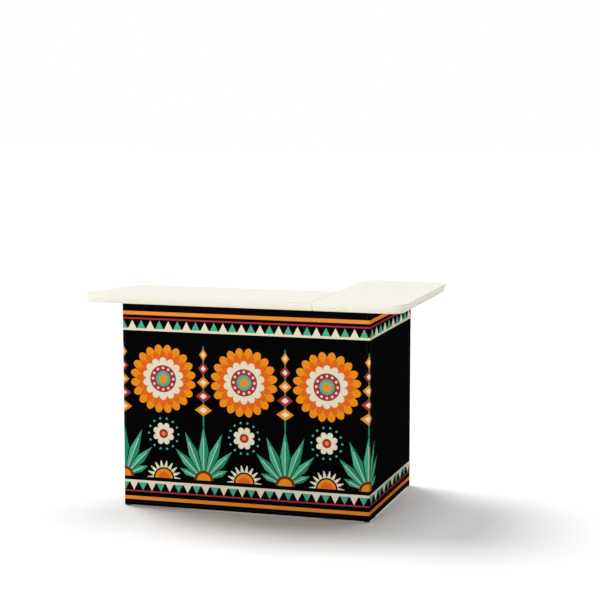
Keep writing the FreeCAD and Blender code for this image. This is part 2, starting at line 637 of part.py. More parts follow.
y_left_joint = y_pin_near - COVER_JOINT
y_right_joint = y_pin_right - COVER_JOINT
front_outer = [(x_left, y_left_joint), (x_left, y_front), (x_right, y_front), (x_right, y_right_joint)]
x_left_in = x_left + COVER_T
x_right_in = x_right - COVER_T
y_front_in = y_front + COVER_T
front_inner = [(x_left_in, y_left_joint), (x_left_in, y_front_in),
               (x_right_in, y_front_in), (x_right_in, y_right_joint)]
pieces["cover_front"] = sheet(front_outer, front_inner, (1, 2))
y_left_cover = y_left_end + skin
left_outer = [(x_left_inner, y_left_cover), (x_left, y_left_cover), (x_left, y_pin_near)]
y_left_in = y_left_cover - COVER_T
left_inner = [(x_left_inner, y_left_in), (x_left_in, y_left_in), (x_left_in, y_pin_near)]
pieces["cover_left"] = sheet(left_outer, left_inner, (1,))
right_outer = [(x_right, y_pin_right), (x_right, y_back), (x_right_inner, y_back)]
y_back_in = y_back - COVER_T
right_inner = [(x_right_in, y_pin_right), (x_right_in, y_back_in), (x_right_inner, y_back_in)]
pieces["cover_right"] = sheet(right_outer, right_inner, (1,))

# Write one STEP file per piece
for name, shape in pieces.items():
    shape.exportStep("parts/" + name + ".step")
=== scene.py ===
import bpy
import math
from mathutils import Euler, Matrix, Vector


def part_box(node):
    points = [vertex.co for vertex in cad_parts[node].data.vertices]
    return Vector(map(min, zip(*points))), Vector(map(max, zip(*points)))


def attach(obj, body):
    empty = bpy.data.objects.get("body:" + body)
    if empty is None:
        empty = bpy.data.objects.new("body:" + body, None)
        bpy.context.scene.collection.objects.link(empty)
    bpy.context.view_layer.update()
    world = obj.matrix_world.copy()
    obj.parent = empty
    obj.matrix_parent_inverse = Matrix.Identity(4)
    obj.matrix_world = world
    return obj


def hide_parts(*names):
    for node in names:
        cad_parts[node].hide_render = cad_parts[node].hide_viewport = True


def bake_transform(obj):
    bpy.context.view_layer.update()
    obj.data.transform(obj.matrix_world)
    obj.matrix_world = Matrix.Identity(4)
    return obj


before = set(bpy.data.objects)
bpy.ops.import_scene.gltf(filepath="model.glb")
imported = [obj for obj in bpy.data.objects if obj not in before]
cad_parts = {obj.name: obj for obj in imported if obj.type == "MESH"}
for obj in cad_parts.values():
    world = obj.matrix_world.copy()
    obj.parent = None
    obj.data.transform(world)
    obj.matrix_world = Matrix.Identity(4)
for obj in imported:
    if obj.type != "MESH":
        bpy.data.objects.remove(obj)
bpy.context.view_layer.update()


# Tube frames
# Four ladders of 25 mm square steel tube, sawn square and welded: one along the front and three that swing.
# They are powder coated black, which leaves a fine orange peel, a soft gloss and thin rubbed patches.
class Shade:
    """One socket of a material. Python's operators on it add Math nodes, and node() adds any other."""

    def __init__(self, tree, socket=None):
        self.tree = tree
        self.socket = socket

    def node(self, kind, settings=None, inputs=None, out=0):
        made = self.tree.nodes.new(kind)
        for key, value in (settings or {}).items():
            setattr(made, key, value)
        for key, value in (inputs or {}).items():
            if isinstance(value, Shade):
                self.tree.links.new(value.socket, made.inputs[key])
            else:
                made.inputs[key].default_value = value
        return Shade(self.tree, made.outputs[out])

    def math(self, operation, *values):
        return self.node("ShaderNodeMath", {"operation": operation}, dict(enumerate((self,) + values)))

    def __add__(self, other):
        return self.math("ADD", other)

    def __sub__(self, other):
        return self.math("SUBTRACT", other)

    def __mul__(self, other):
        return self.math("MULTIPLY", other)

    def __truediv__(self, other):
        return self.math("DIVIDE", other)

    def __rsub__(self, other):
        return self.node("ShaderNodeMath", {"operation": "SUBTRACT"}, {0: other, 1: self})

    __radd__ = __add__
    __rmul__ = __mul__


def ink(red, green, blue):
    # A colour as a screen shows it, 0 to 255, as the shader's linear colour
    linear = []
    for value in (red, green, blue):
        share = value / 255
        linear.append(share / 12.92 if share <= 0.04045 else ((share + 0.055) / 1.055) ** 2.4)
    return (*linear, 1.0)


def new_material(name, **constants):
    material = bpy.data.materials.new(name)
    material.use_nodes = True
    shader = material.node_tree.nodes["Principled BSDF"]
    for key, value in constants.items():
        shader.inputs[key.replace("_", " ")].default_value = value
    return material, Shade(material.node_tree), shader


def feed(shade, shader, key):
    shade.tree.links.new(shade.socket, shader.inputs[key])


def mixed(amount, first, second):
    return amount.node("ShaderNodeMix", {"data_type": "RGBA"}, {0: amount, 6: first, 7: second}, out=2)


def noise(place, scale, detail=2.0, rough=0.5):
    inputs = {"Vector": place, "Scale": scale, "Detail": detail, "Roughness": rough}
    return place.node("ShaderNodeTexNoise", {}, inputs)


def grain(height, shader, distance, strength):
    # A fine relief, distance deep in metres
    inputs = {"Height": height, "Distance": distance, "Strength": strength}
    feed(height.node("ShaderNodeBump", {}, inputs, out="Normal"), shader, "Normal")


def dress(material, *names):
    for name in names:
        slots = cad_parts[name].data.materials
        slots.clear()
        slots.append(material)


COAT_BLACK = ink(22, 22, 24)
COAT_RUBBED = ink(38, 38, 40)
powder_coat, shade, shader = new_material("black_powder_coat", Specular_IOR_Level=0.5)
place = shade.node("ShaderNodeTexCoord", out="Object")
peel = noise(place, 420, 3.0)
rubbed = noise(place, 9, 4.0, 0.65)
feed(mixed(rubbed, COAT_BLACK, COAT_RUBBED), shader, "Base Color")
feed(0.34 + 0.22 * rubbed + 0.06 * peel, shader, "Roughness")
grain(peel, shader, 0.0002, 0.25)

RAILS = {
    "front": ["front_bottom_rail", "front_mid_rail_left", "front_mid_rail_right", "front_top_rail"],
    "left": ["left_bottom_rail", "left_mid_rail", "left_top_rail"],
    "gate": ["gate_bottom_rail", "gate_mid_rail", "gate_top_rail"],
    "right": ["right_bottom_rail", "right_mid_rail", "right_top_rail"],
}
for rails in RAILS.values():
    dress(powder_coat, *rails)
dress(powder_coat, "front_post_left", "front_post_middle", "front_post_right")
for ladder in ("left", "gate", "right"):
    dress(powder_coat, ladder + "_near_post", ladder + "_far_post")


# Welds
# Short fillet beads where each rail meets its post, on the inside, above and below, coated with the frame.
# The outer faces are ground flush for the cover, and the top rails stay clear above for the countertop.
MM = 0.001
BEAD_R = 1.9 * MM
BEAD_LENGTH = 20 * MM
BEAD_OUT = 0.4 * MM
RIPPLES = 9
RIPPLE_SWELL = 0.08
END_TAPER = 0.5


def only(*objects):
    # Selects these and nothing else, the first one active
    bpy.ops.object.select_all(action="DESELECT")
    for obj in objects:
        obj.select_set(True)
    bpy.context.view_layer.objects.active = objects[0]


def pick(obj, kind, test):
    # In edit mode, selects the vertices or edges whose middle passes the test, and nothing else
    bpy.ops.mesh.select_mode(type={"vertices": "VERT", "edges": "EDGE"}[kind])
    bpy.ops.mesh.select_all(action="DESELECT")
    bpy.ops.object.mode_set(mode="OBJECT")
    mesh = obj.data
    for element in getattr(mesh, kind):
        if kind == "vertices":
            middle = element.co
        else:
            points = [mesh.vertices[i].co for i in element.vertices]
            middle = sum(points, Vector()) / len(points)
        element.select = test(middle)
    bpy.ops.object.mode_set(mode="EDIT")


def set_out(pattern, name, places, body):
    # Copies of one modelled piece, joined into one object that rides on a body
    copies = []
    for spot in places:
        copy = pattern.copy()
        copy.data = pattern.data.copy()
        copy.data.transform(spot)
        bpy.context.scene.collection.objects.link(copy)
        copies.append(copy)
    only(*copies)
    bpy.ops.object.join()
    joined = copies[0]
    joined.name = name
    joined.data.name = name
    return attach(joined, body)


bpy.ops.object.select_all(action="DESELECT")
bpy.ops.mesh.primitive_cylinder_add(vertices=8, radius=BEAD_R, depth=BEAD_LENGTH, end_fill_type="TRIFAN")
bead = bpy.context.object
bpy.ops.object.mode_set(mode="EDIT")
pick(bead, "edges", lambda middle: abs(middle.z) < BEAD_LENGTH / 4)
bpy.ops.mesh.subdivide(number_cuts=RIPPLES)
step = BEAD_LENGTH / (RIPPLES + 1)
for i in range(RIPPLES + 2):
    ring = -BEAD_LENGTH / 2 + i * step
    pick(bead, "vertices", lambda middle: abs(middle.z - ring) < step / 4)
    swell = 1 + RIPPLE_SWELL if i % 2 else 1 - RIPPLE_SWELL
    if i in (0, RIPPLES + 1):
        swell = END_TAPER
    bpy.ops.transform.resize(value=(swell, swell, 1), center_override=(0, 0, ring))
bpy.ops.object.mode_set(mode="OBJECT")
only(bead)
bpy.ops.object.shade_smooth()
bead.data.materials.append(powder_coat)

# Turns that lay the upright bead along x, y or z
LAID_ALONG = (Matrix.Rotation(math.pi / 2, 4, "Y"), Matrix.Rotation(math.pi / 2, 4, "X"), Matrix.Identity(4))


def bead_places(tube, faces):
    # faces are (axis, side) pairs of the tube's own faces that are welded at both its ends
    low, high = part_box(tube)
    along = max(range(3), key=lambda i: high[i] - low[i])
    places = []
    for end, inward in ((low[along], 1), (high[along], -1)):
        for axis, side in faces:
            spot = (low + high) / 2
            spot[along] = end + inward * BEAD_OUT
            spot[axis] = (high if side > 0 else low)[axis] + side * BEAD_OUT
            places.append(Matrix.Translation(spot) @ LAID_ALONG[3 - along - axis])
    return places


INNER_FACES = {"front": [(1, 1)], "left": [(0, 1)], "gate": [(0, -1), (0, 1)], "right": [(0, -1)]}
for ladder, rails in RAILS.items():
    spots = []
    for rail in rails:
        above = [] if rail.endswith("top_rail") else [(2, 1)]
        spots += bead_places(rail, INNER_FACES[ladder] + [(2, -1)] + above)
    if ladder == "front":
        spots += bead_places("front_post_middle", [(1, 1), (0, -1), (0, 1)])
    set_out(bead, ladder + "_welds", spots, ladder + "_frame")
bpy.data.objects.remove(bead)


# Feet and caps
# Moulded black plastic: glides pressed into the posts' lower ends and flush caps in their upper ends.
# The glides are scuffed grey near the floor.
PLASTIC_BLACK = ink(24, 24, 25)
SCUFF_GREY = ink(86, 85, 83)
SCUFF_HEIGHT = 20 * MM


def part_of(vector, axis):
    return vector.node("ShaderNodeSeparateXYZ", {}, {0: vector}, out=axis)


def ramped(value, start, end, first, last):
    # Goes from first to last as the value goes from start to end
    return value.node("ShaderNodeMapRange", {}, {0: value, 1: start, 2: end, 3: first, 4: last})


black_plastic, shade, shader = new_material("black_plastic", Specular_IOR_Level=0.4)
place = shade.node("ShaderNodeTexCoord", out="Object")
spark = noise(place, 700, 2.0)
scuff = noise(place, 60, 4.0, 0.7)
near_floor = ramped(part_of(place, 2), 0.0, SCUFF_HEIGHT, 0.7, 0.0)
feed(mixed(near_floor * scuff, PLASTIC_BLACK, SCUFF_GREY), shader, "Base Color")
feed(0.42 + 0.25 * scuff, shader, "Roughness")
grain(spark, shader, 0.0001, 0.2)
for ladder in ("front", "left", "gate", "right"):
    dress(black_plastic, ladder + "_feet", ladder + "_caps")


# Pintle hinges
# Flat steel arms welded inside the front posts and barrels on the swinging posts, coated with the frame,
# and bright zinc plated pins that drop through both.
ZINC_GREY = ink(168, 170, 172)
ZINC_WARM = ink(205, 203, 194)
zinc, shade, shader = new_material("zinc_plate", Metallic=1.0)
place = shade.node("ShaderNodeTexCoord", out="Object")
cloud = noise(place, 45, 4.0, 0.6)
brushed = shade.node("ShaderNodeMapping", {}, {"Vector": place, "Scale": (900.0, 900.0, 60.0)})
scratch = noise(brushed, 1.0, 2.0)
feed(mixed(cloud, ZINC_GREY, ZINC_WARM), shader, "Base Color")
feed(0.26 + 0.2 * cloud + 0.1 * scratch, shader, "Roughness")
grain(scratch, shader, 0.00005, 0.2)
dress(powder_coat, "pintle_brackets", "left_barrels", "gate_barrels", "right_barrels")
dress(zinc, "pintle_pins")


# Ledges
# Bent steel angles that carry the free ends of the shelves, coated black with the frames.
# Each is held to its rail by two cross-head screws of plated steel.
LEDGE_WIDTH = 34 * MM
LEDGE_T = 2.5 * MM
SCREW_APART = 18 * MM
SCREW_DOWN = 10 * MM
HEAD_R = 3.4 * MM
HEAD_HEIGHT = 1.8 * MM
HEAD_ROUND = 1.0 * MM
CROSS_SIZE = (4.0 * MM, 0.9 * MM, 1.8 * MM)
dress(powder_coat, "left_ledge", "gate_ledges")


def apply_modifier(obj, kind, **settings):
    only(obj)
    modifier = obj.modifiers.new(kind.lower(), kind)
    for key, value in settings.items():
        setattr(modifier, key, value)
    bpy.ops.object.modifier_apply(modifier=modifier.name)


bpy.ops.object.select_all(action="DESELECT")
bpy.ops.mesh.primitive_cylinder_add(vertices=20, radius=HEAD_R, depth=HEAD_HEIGHT,
                                    location=(0, 0, HEAD_HEIGHT / 2))
bpy.ops.object.transform_apply(location=True)
screw = bpy.context.object
bpy.ops.object.mode_set(mode="EDIT")
pick(screw, "edges", lambda middle: middle.z > HEAD_HEIGHT * 0.9)
bpy.ops.mesh.bevel(offset=HEAD_ROUND, segments=3)
bpy.ops.object.mode_set(mode="OBJECT")
for turn in (0, math.pi / 2):
    bpy.ops.object.select_all(action="DESELECT")
    bpy.ops.mesh.primitive_cube_add(size=1, location=(0, 0, HEAD_HEIGHT))
    cross_cutter = bpy.context.object
    cross_cutter.data.transform(Matrix.Rotation(turn, 4, "Z") @ Matrix.Diagonal((*CROSS_SIZE, 1)))
    apply_modifier(screw, "BOOLEAN", object=cross_cutter, operation="DIFFERENCE", solver="EXACT")
    bpy.data.objects.remove(cross_cutter)
only(screw)
bpy.ops.object.shade_smooth_by_angle(angle=math.radians(35))
screw.data.materials.clear()
screw.data.materials.append(zinc)


def screw_at(spot, outward, turn):
    # outward is the way the head faces, and turn is the angle of its cross in degrees
    facing = Vector(outward).to_track_quat("Z", "Y").to_matrix().to_4x4()
    return Matrix.Translation(spot) @ facing @ Matrix.Rotation(math.radians(turn), 4, "Z")


left_ledge_low, left_ledge_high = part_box("left_ledge")
ledge_screw_z = left_ledge_high.z - SCREW_DOWN


def ledge_screws(face, outward, y, turn, spread):
    # Two screws side by side through the upright of a ledge on a rail's face
    places = []
    for side in (-1, 1):
        spot = (face + outward * LEDGE_T, y + side * SCREW_APART / 2, ledge_screw_z)
        places.append(screw_at(spot, (outward, 0, 0), turn + spread * side))
    return places


left_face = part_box("left_mid_rail")[1].x
left_middle = (left_ledge_low + left_ledge_high) / 2
spots = ledge_screws(left_face, 1, left_middle.y, 20, 31)
set_out(screw, "left_ledge_screws", spots, "left_frame")
# The gate's ledge level with the left one carries the long shelf, and its other two the return shelf
gate_low, gate_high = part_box("gate_mid_rail")
gate_y = sorted({round(v.co.y, 4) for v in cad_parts["gate_ledges"].data.vertices})
spots = []
for start in gate_y[::2]:
    outward = -1 if start < left_ledge_high.y else 1
    face = gate_low.x if outward < 0 else gate_high.x
    spots += ledge_screws(face, outward, start + LEDGE_WIDTH / 2, 12, 40)
set_out(screw, "gate_ledge_screws", spots, "gate_frame")


# Shelves
# Two injection moulded trays of off-white polythene with a ribbed underside. The upper face has a fine pebble
# grain against slipping, with faint dulled tracks where bottles have stood.
SHELF_CREAM = ink(235, 231, 217)
SHELF_PALE = ink(243, 240, 229)
SHELF_SCUFF = ink(207, 202, 187)
SHELF_SPECK = ink(214, 208, 190)


def cells(place, scale, feature="SMOOTH_F1"):
    return place.node("ShaderNodeTexVoronoi", {"feature": feature}, {"Vector": place, "Scale": scale})


shelf_plastic, shade, shader = new_material("moulded_shelf", Specular_IOR_Level=0.4)
place = shade.node("ShaderNodeTexCoord", out="Object")
pebble = cells(place, 420.0)
cloud = noise(place, 6, 4.0, 0.6)
worn = noise(place, 22, 5.0, 0.7)
scuffs = ramped(worn, 0.52, 0.75, 0.0, 0.45)
specks = ramped(pebble, 0.1, 0.7, 0.0, 0.22)
scuffed = mixed(scuffs, mixed(cloud, SHELF_CREAM, SHELF_PALE), SHELF_SCUFF)
feed(mixed(specks, scuffed, SHELF_SPECK), shader, "Base Color")
feed(0.4 + 0.22 * worn, shader, "Roughness")
grain(pebble, shader, 0.0004, 0.5)
dress(shelf_plastic, "long_shelf", "return_shelf")


# Shelf hinges
# Pressed zinc plated butt hinges. One leaf is screwed to the rail and the other to the shelf,
# with two cross-head screws in each.
LEAF_T = 1.5 * MM
HINGE_SCREW_APART = 40 * MM
RAIL_SCREW_UP = 6 * MM
SHELF_SCREW_IN = 7 * MM
HINGES_CLEAR = 100 * MM
SHELF_HINGES = [
    # Shelf, axis of its hinges, way its rail leaves face, body of its rail, then the turn and spread of the
    # screws in the rail leaves and of those in the shelf leaves
    ("long", 0, 1, "front_frame", (0, 33), (15, 24)),
    ("return", 1, -1, "right_frame", (0, 28), (50, 20)),
]


def hinge_middles(node, axis):
    # Middles of the hinges set along an axis, from the wide gaps between their pins
    values = sorted({round(v.co[axis], 4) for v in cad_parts[node].data.vertices})
    gaps = [(a, b) for a, b in zip(values, values[1:]) if b - a > HINGES_CLEAR]
    starts = [values[0]] + [b for a, b in gaps]
    ends = [a for a, b in gaps] + [values[-1]]
    return [(a + b) / 2 for a, b in zip(starts, ends)]


for shelf, along, facing, rail_body, rail_turn, shelf_turn in SHELF_HINGES:
    dress(zinc, shelf + "_hinge_fixed", shelf + "_hinge_moving", shelf + "_hinge_pins")
    across = 1 - along
    rail_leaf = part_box(shelf + "_hinge_fixed")
    shelf_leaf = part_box(shelf + "_hinge_moving")
    near, far = (0, 1) if facing > 0 else (1, 0)
    outward = Vector()
    outward[across] = facing
    on_rail = []
    on_shelf = []
    for middle in hinge_middles(shelf + "_hinge_pins", along):
        for side in (-1, 1):
            spot = Vector()
            spot[along] = middle + side * HINGE_SCREW_APART / 2
            spot[across] = rail_leaf[near][across] + facing * LEAF_T
            spot.z = rail_leaf[0].z + RAIL_SCREW_UP
            on_rail.append(screw_at(spot, outward, rail_turn[0] + rail_turn[1] * side))
            spot[across] = shelf_leaf[far][across] - facing * SHELF_SCREW_IN
            spot.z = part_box(shelf + "_shelf")[1].z + LEAF_T
            on_shelf.append(screw_at(spot, (0, 0, 1), shelf_turn[0] + shelf_turn[1] * side))
    set_out(screw, shelf + "_rail_screws", on_rail, rail_body)
    set_out(screw, shelf + "_shelf_screws", on_shelf, shelf + "_shelf_leaf")
bpy.data.objects.remove(screw)


# Countertop
# Two blow-moulded cream panels that make an L, hollow, with an undercut edge and conical tack-offs below.
# The skin has the pebble grain of the mould and a soft sheen. Below the rim a yellowish painted shade darkens
# its colour, most at the underside and mottled at random.
TOP_CREAM = ink(243, 240, 226)
TOP_PALE = ink(249, 247, 236)
TOP_PAINTED_SHADE = ink(222, 214, 190)
RIM_CLEAR = 3 * MM
slab_low, slab_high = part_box("top_panel_long")
top_plastic, shade, shader = new_material("moulded_top", Specular_IOR_Level=0.35)
place = shade.node("ShaderNodeTexCoord", out="Object")
pebble = cells(place, 330.0)
cloud = noise(place, 4, 5.0, 0.6)
worn = noise(place, 14, 6.0, 0.7)
# Painted shade: a yellowish darkening from the underside up to just below the rim, mottled at random
under = ramped(part_of(place, 2), slab_low.z, slab_high.z - RIM_CLEAR, 1.3, 0.0)
feed(mixed(under * worn, mixed(cloud, TOP_CREAM, TOP_PALE), TOP_PAINTED_SHADE), shader, "Base Color")
feed(0.36 + 0.26 * worn, shader, "Roughness")
grain(pebble, shader, 0.0004, 0.45)
dress(top_plastic, "top_panel_long", "top_panel_return")
dress(zinc, "long_top_dowels", "return_top_dowels")


# Hook-and-loop strips
# Black nylon tape glued along the outer faces of the frames, where it grips the back of the cover.
# Its nap is a dense field of short hooks, a little matted.
TAPE_BLACK = ink(16, 16, 17)
TAPE_MATTED = ink(44, 43, 43)
hook_tape, shade, shader = new_material("hook_tape", Sheen_Weight=0.3)
place = shade.node("ShaderNodeTexCoord", out="Object")
nap = cells(place, 600.0, "F1")
matted = noise(place, 80, 4.0, 0.7)
feed(mixed(matted, TAPE_BLACK, TAPE_MATTED), shader, "Base Color")
feed(0.75 + 0.2 * matted, shader, "Roughness")
grain(nap, shader, 0.0006, 0.6)
dress(hook_tape, "front_strips", "left_strips", "right_strips")


# Printed cover
# A front and two end panels of coated polyester, hemmed all round and pressed onto the strips, so they lie
# taut with a slight bow between the rails. The end panels would bend at the frames' hinges; here they keep
# their place.
CLOTH_T = 0.9 * MM
FOLD_R = 4 * MM
FOLD_STEPS = 6
SEAM = 0.8 * MM
FRONT_PITCH = 6 * MM
END_PITCH = 5 * MM
ROWS = 108
HEM = 20 * MM
HEM_STEP = 4 * MM
HEM_LIFT = 0.3 * MM
# Between posts and rails the cloth comes free of the frame over EASE, and bows above and below the mid rail
HELD_AT_POST = 30 * MM
HELD_AT_RAIL = 70 * MM
EASE = 120 * MM
MID_RAIL_Z = 0.52
BAY = 0.46
BOW = 1.1 * MM
RIPPLE = 0.45 * MM
# The seams draw the hems into small puckers
PUCKER = 0.12 * MM
PUCKER_PITCH = 17 * MM
PUCKER_EDGE = 4 * MM
PUCKER_REACH = 14 * MM
front_low, front_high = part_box("cover_front")
left_low, left_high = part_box("cover_left")
right_low, right_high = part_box("cover_right")
z_low = front_low.z
z_high = front_high.z
x_left = front_low.x
x_right = front_high.x
y_front = front_low.y
quarter = FOLD_R * math.pi / 2


def straight(ax, ay, bx, by, pitch):
    # Points along a run, each with its outward normal; outside lies on the right hand
    size = math.hypot(bx - ax, by - ay)
    count = max(2, round(size / pitch))
    normal = ((by - ay) / size, -(bx - ax) / size)
    return [(ax + (bx - ax) * i / count, ay + (by - ay) * i / count, *normal) for i in range(count + 1)]


def fold(cx, cy, start, end):
    turns = [math.radians(start + (end - start) * i / FOLD_STEPS) for i in range(FOLD_STEPS + 1)]
    return [(cx + FOLD_R * math.cos(a), cy + FOLD_R * math.sin(a), math.cos(a), math.sin(a)) for a in turns]


def walked(path):
    # The path without repeated points, and how far along it each point is
    kept = [path[0]]
    gone = [0.0]
    for point in path[1:]:
        move = math.hypot(point[0] - kept[-1][0], point[1] - kept[-1][1])
        if move > 1e-6:
            kept.append(point)
            gone.append(gone[-1] + move)
    return kept, gone


def clamped(value):
    return min(1.0, max(0.0, value))


def cloth_panel(name, path, start, ends):
    # A hemmed panel along a path in plan. start is the print's place at the path's first point, and ends are
    # the folds after which the cloth lies flat against a post.
    points, gone = walked(path)
    bpy.ops.object.select_all(action="DESELECT")
    bpy.ops.mesh.primitive_grid_add(x_subdivisions=len(points) - 1, y_subdivisions=ROWS, size=2)
    panel = bpy.context.object
    panel.name = name
    panel.data.name = name
    mesh = panel.data
    print_place = []
    for vertex in mesh.vertices:
        column = round((vertex.co.x + 1) / 2 * (len(points) - 1))
        share = (vertex.co.y + 1) / 2
        x, y, nx, ny = points[column]
        s = gone[column]
        u = start + s
        z = z_low + share * (z_high - z_low)
        edge = min(s, gone[-1] - s, z - z_low, z_high - z)
        hem = clamped((HEM + HEM_STEP / 2 - edge) / HEM_STEP)
        free = clamped((min(s - ends[0], ends[1] - s) - HELD_AT_POST) / EASE)
        free *= clamped((min(z - z_low, z_high - z) - HELD_AT_RAIL) / EASE)
        bow = math.sin(math.pi * min(1.0, abs(z - MID_RAIL_Z) / BAY)) * free
        ripple = math.sin(9.0 * u + 3.0 * math.sin(2.3 * z)) * math.sin(4.1 * z + 1.7 * u) * free
        pucker = math.sin(2 * math.pi * (u + z) / PUCKER_PITCH)
        pucker *= math.exp(-max(0.0, edge - PUCKER_EDGE) / PUCKER_REACH)
        out = -HEM_LIFT * (1 - hem) - BOW * bow + RIPPLE * ripple + PUCKER * pucker
        vertex.co = (x + nx * out, y + ny * out, z)
        print_place.append((u, z))
    layer = mesh.uv_layers.get("UVMap")
    layer.name = "print"
    for loop in mesh.loops:
        layer.data[loop.index].uv = print_place[loop.vertex_index]
    only(panel)
    bpy.ops.object.shade_smooth()
    panel.data.materials.append(print_face)
    panel.data.materials.append(cloth_back)
    apply_modifier(panel, "SOLIDIFY", thickness=CLOTH_T, offset=-1.0, material_offset=1,
                   material_offset_rim=1)
    return panel


# The print is a frieze of dahlias, agaves and half suns between two bands of stripes and triangles.
# The bands run on round the corners. The frieze ends with an agave on each front corner, and the ends are
# black behind it. Places are in metres along the cloth and up from the floor.
REPEAT = 416.8 * MM
FRONT_REPEATS = 3
SHARP = 1 / (0.8 * MM)
STRIPE_ORANGE = ink(250, 148, 55)
ORANGE = ink(247, 149, 29)
DEEP_ORANGE = ink(236, 106, 31)
CRIMSON = ink(176, 52, 65)
CREAM = ink(240, 233, 205)
TEAL = ink(77, 184, 148)
DEEP_TEAL = ink(35, 145, 108)
BROWN = ink(116, 54, 28)
GROUND = ink(2, 2, 3)
GROUND_PALE = ink(6, 6, 7)
FADED = ink(40, 38, 38)
print_face, shade, shader = new_material("printed_cloth", Specular_IOR_Level=0.0004)
flat = shade.node("ShaderNodeUVMap", {"uv_map": "print"})
u = part_of(flat, 0)
v = part_of(flat, 1)
# Each layer is the depth inside an outline, in metres, and its ink
layers = []


def both(first, second):
    return first.math("MINIMUM", second)


def size_of(value):
    return value.math("ABSOLUTE")


def between(value, start, end):
    return (end - start) / 2 - size_of(value - (start + end) / 2)


def repeated(value, pitch, offset):
    # Distance from the nearest of evenly spaced places
    return ((value - offset) / pitch + 0.5).math("FRACT") * pitch - pitch / 2


def nearest_of(value, pitch, offset, last):
    # Distance from the nearest place of a row, numbered from 0 to last
    number = ((value - offset) / pitch).math("ROUND").math("MAXIMUM", 0.0).math("MINIMUM", last)
    return value - offset - number * pitch


def distance(across, up):
    return (across * across + up * up).math("SQRT")


def polar(across, up):
    return distance(across, up), up.math("ARCTAN2", across)


def petals(radius, angle, count, outer, inner, turn=0.0):
    lobe = size_of((angle * (count / 2) + turn).math("SINE")).math("SQRT")
    return inner + lobe * (outer - inner) - radius


def dots(radius, angle, count, ring, size):
    turn = repeated(angle, 2 * math.pi / count, 0.0)
    return size - distance(radius - ring, turn * ring)


# Bands of stripes and triangles. On the ends the triangles are wider, and start afresh at the corner.
STRIPES = [
    (0.9560, 0.9740, STRIPE_ORANGE),
    (0.9345, 0.9420, CRIMSON),
    (0.0325, 0.0505, STRIPE_ORANGE),
    (0.0720, 0.0795, CRIMSON),
]
BASE_LINES = [(0.8785, 0.8895), (0.1195, 0.1315)]
TOOTH_PITCH = 47 * MM
TOOTH_OFFSET = 3 * MM
TOOTH_HALF = 21.5 * MM
TOOTH_HEIGHT = 41 * MM
UPPER_TIP = 0.9300
UPPER_BASE = 0.8890
LOWER_TIP = 0.0800
LOWER_BASE = 0.1200
END_STRETCH = 1.755
END_START = 18 * MM
front_half = (x_right - x_left) / 2 - FOLD_R + quarter
beyond = size_of(u - (front_half - quarter / 2)) - (front_half + SEAM / 2)
on_end = beyond.math("GREATER_THAN", 0.0)
along = u + on_end * (beyond / END_STRETCH - END_START - u)
aside = size_of(repeated(along, TOOTH_PITCH, TOOTH_OFFSET))
slant = TOOTH_HALF / TOOTH_HEIGHT
upper = both((UPPER_TIP - v) * slant - aside, v - UPPER_BASE)
lower = both((v - LOWER_TIP) * slant - aside, LOWER_BASE - v)
teeth = upper.math("MAXIMUM", lower)
every_other = TOOTH_PITCH / 2 - size_of(repeated(along, 2 * TOOTH_PITCH, TOOTH_OFFSET))
layers += [(between(v, low, high), paint) for low, high, paint in STRIPES]
layers += [(teeth, CREAM), (both(teeth, every_other), TEAL)]
layers += [(between(v, low, high), CREAM) for low, high in BASE_LINES]

# Agaves with a flower spike of lozenges, on the joins of the repeat
GROUND_LINE = 0.150
LEAF_TURN = math.radians(22)
LEAF_REACH = 0.27
REACH_LOST = 0.015
LEAF_SPREAD = 0.17
LEAF_POINT = 0.055
LAST_LEAF = 3.4
VEIN_SHARE = 0.8
VEIN_HALF = 1.4 * MM
HEART_R = 0.050
HEART_CORE_R = 0.036
STEM = (0.418, 0.815)
STEM_HALF = 3.5 * MM
SPIKE = (0.466, 0.806)
TIER = 0.068
LOZENGE_HALF = 0.044
HALF_LOST = 0.006
LOZENGE_RISE = 0.030
LOZENGE_DEPTH = 0.018
LOZENGE_RIM = 0.009
across = nearest_of(u, REPEAT, 0.0, FRONT_REPEATS)
up = v - GROUND_LINE
radius = distance(across, up)
lean = across.math("ARCTAN2", up)
leaf = (lean / LEAF_TURN).math("ROUND")
aside = (lean - leaf * LEAF_TURN) * radius
reach = LEAF_REACH - REACH_LOST * leaf * leaf
leaf_half = both(radius * LEAF_SPREAD, (1 - radius / reach) * LEAF_POINT)
blade = both(leaf_half - size_of(aside), LAST_LEAF - size_of(leaf))
vein = both(both(blade, reach * VEIN_SHARE - radius), VEIN_HALF - size_of(aside))
layers += [(blade, TEAL), (both(blade, aside), DEEP_TEAL), (vein, CREAM)]
layers += [(both(HEART_R - radius, up), BROWN), (both(HEART_CORE_R - radius, up), ORANGE)]
layers += [(both(between(v, *STEM), STEM_HALF - size_of(across)), DEEP_TEAL)]
spike = (v - SPIKE[0]) / TIER
tier = spike.math("FLOOR")
rise = size_of((spike.math("FRACT") - 0.5) * TIER)
wide = LOZENGE_HALF - HALF_LOST * tier
lozenge = both((1 - size_of(across) / wide - rise / LOZENGE_RISE) * LOZENGE_DEPTH, between(v, *SPIKE))
odd_tier = (tier * 0.5).math("FRACT") - 0.25
layers += [(lozenge, ORANGE), (both(lozenge, odd_tier), CRIMSON), (lozenge - LOZENGE_RIM, CREAM)]

